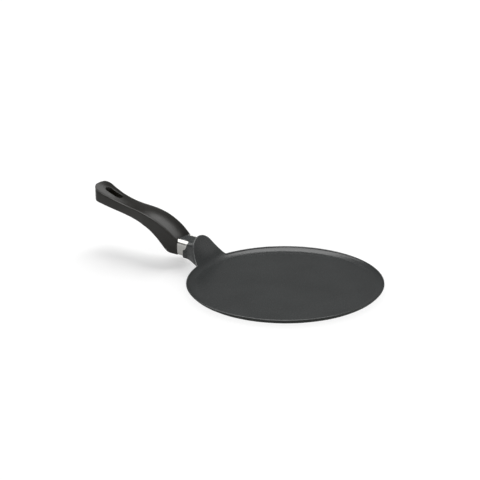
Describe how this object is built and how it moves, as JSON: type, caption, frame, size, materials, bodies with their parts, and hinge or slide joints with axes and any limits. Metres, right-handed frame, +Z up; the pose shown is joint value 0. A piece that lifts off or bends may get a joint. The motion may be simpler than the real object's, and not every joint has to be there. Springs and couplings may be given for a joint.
{
  "type": "crepe pan",
  "caption": "Shallow round griddle pan with a low flared rim, a flared fin at the stem, a bright flame guard and an S-curved moulded handle with a hanging slot.",
  "frame": {"origin": "centre of the base's flat underside, where the pan stands on the hob", "axes": "+Z up; the handle runs along -X from the pan; +Y completes a right-handed frame and is across the handle"},
  "size_m": [0.4405, 0.25, 0.0763],
  "materials": {
    "coated_aluminium": "satin dark non-stick coating",
    "guard_steel": "bright polished stainless",
    "moulded_phenolic": "satin black phenolic",
    "plated_steel": "zinc plated"
  },
  "bodies": {
    "root": {"pan_body": "coated_aluminium", "flame_guard": "guard_steel", "handle": "moulded_phenolic", "handle_screw": "plated_steel", "lock_washer": "plated_steel"}
  },
  "joints": []
}
